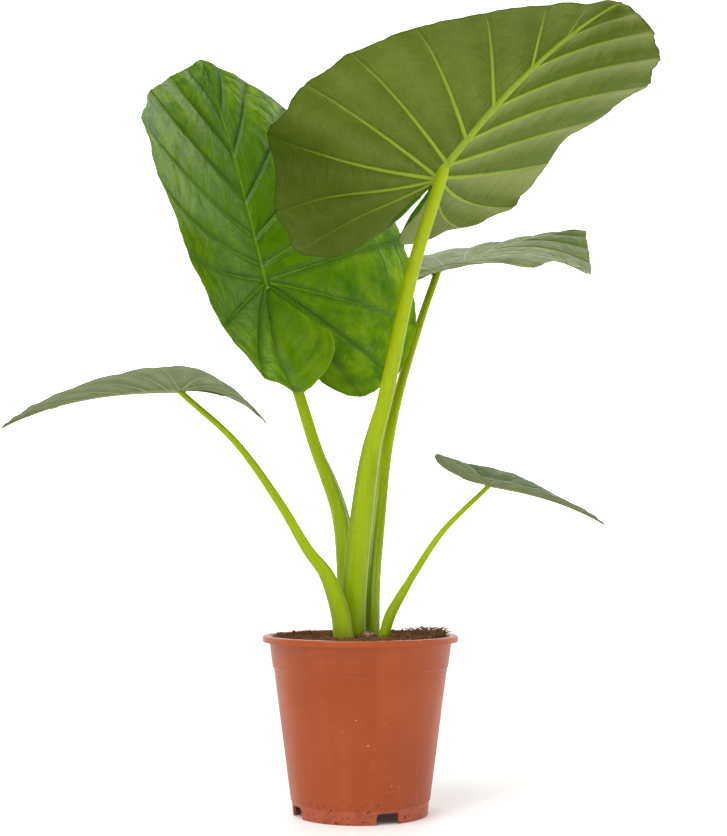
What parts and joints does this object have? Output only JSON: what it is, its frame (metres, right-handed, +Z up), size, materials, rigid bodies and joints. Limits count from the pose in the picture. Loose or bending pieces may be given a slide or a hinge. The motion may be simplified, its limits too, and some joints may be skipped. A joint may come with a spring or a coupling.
{
  "type": "potted plant",
  "caption": "Giant taro with large heart-shaped ribbed leaves on thick arching stalks, growing in its round terracotta-coloured plastic nursery pot.",
  "frame": {"origin": "middle of the pot's underside, on the floor", "axes": "+Z up along the pot's axis; -Y is the front, the side the picture was taken from; +X is the plant's right in that view"},
  "size_m": [0.7029, 0.7928, 0.8553],
  "materials": {
    "pot_plastic": "terracotta-coloured moulded plastic, satin, lightly scuffed",
    "potting_mix": "dry coarse bark and coir mix",
    "corm_husk": "brown papery husk",
    "stalk_skin": "smooth waxy lime-green stalk",
    "blade_skin_tall": "matte olive underside with pale ribs",
    "blade_skin_back_left": "glossy deep green upper face, quilted between ribs",
    "blade_skin_back_right": "grey-green underside, glossy green upper face",
    "blade_skin_low_left": "grey-green underside, glossy green upper face",
    "blade_skin_low_right": "grey-green underside, glossy green upper face"
  },
  "bodies": {
    "root": {"pot": "pot_plastic", "soil": "potting_mix", "corm": "corm_husk", "stalk_tall": "stalk_skin", "blade_tall": "blade_skin_tall", "stalk_back_left": "stalk_skin", "blade_back_left": "blade_skin_back_left", "stalk_back_right": "stalk_skin", "blade_back_right": "blade_skin_back_right", "stalk_low_left": "stalk_skin", "blade_low_left": "blade_skin_low_left", "stalk_low_right": "stalk_skin", "blade_low_right": "blade_skin_low_right"}
  },
  "joints": []
}
